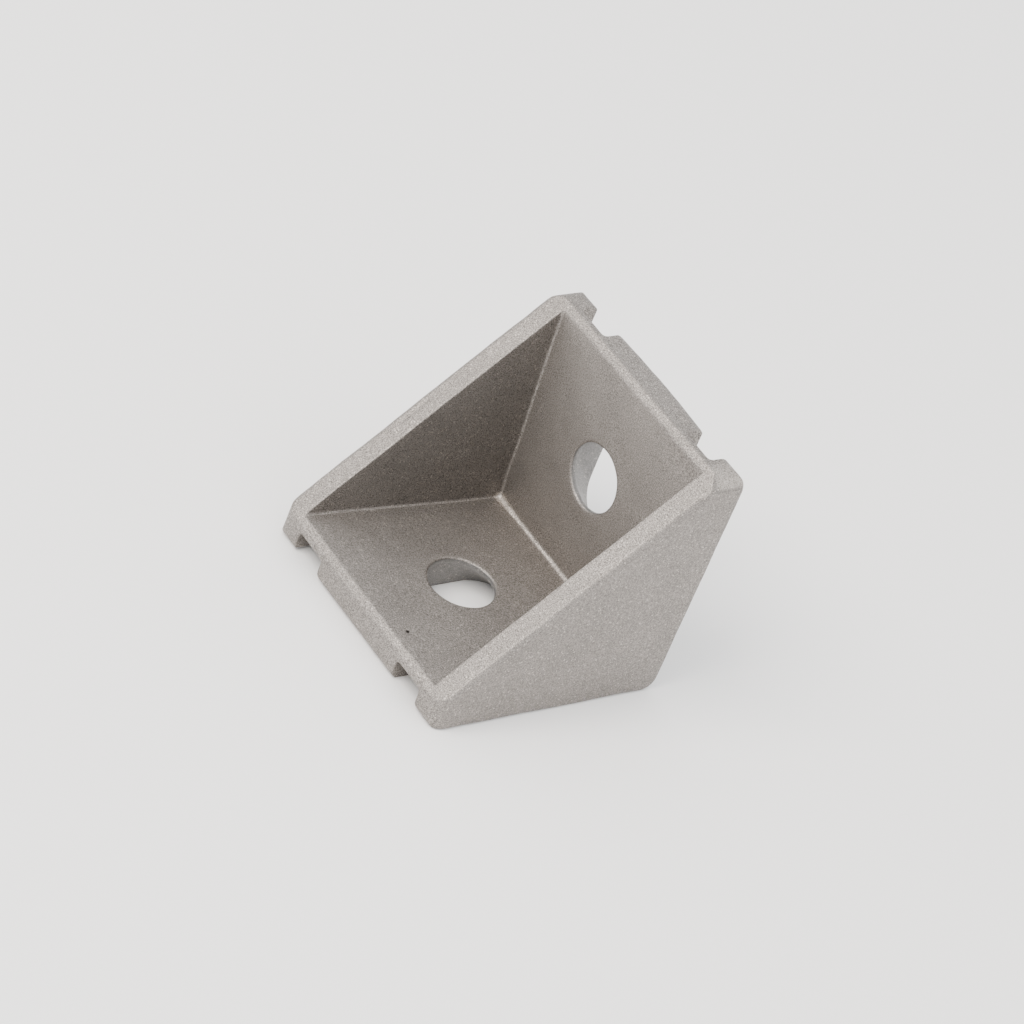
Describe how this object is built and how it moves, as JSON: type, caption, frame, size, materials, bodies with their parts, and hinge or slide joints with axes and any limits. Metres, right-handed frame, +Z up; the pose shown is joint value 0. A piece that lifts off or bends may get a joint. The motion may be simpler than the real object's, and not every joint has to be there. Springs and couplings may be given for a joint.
{
  "type": "t slot corner bracket",
  "caption": "Right-angle die-cast corner bracket with two legs, two triangular side walls, a deep open pocket and a screw hole in each leg.",
  "frame": {"origin": "middle of the bounding box's underside, on the plane of the foot's mounting face", "axes": "+X along the foot towards its end face, +Y across the bracket, +Z up along the upright leg"},
  "size_m": [0.035, 0.038, 0.035],
  "materials": {
    "casting": "die cast and shot blasted, matte with a fine sparkling grain"
  },
  "bodies": {
    "root": {"corner_bracket": "casting"}
  },
  "joints": []
}
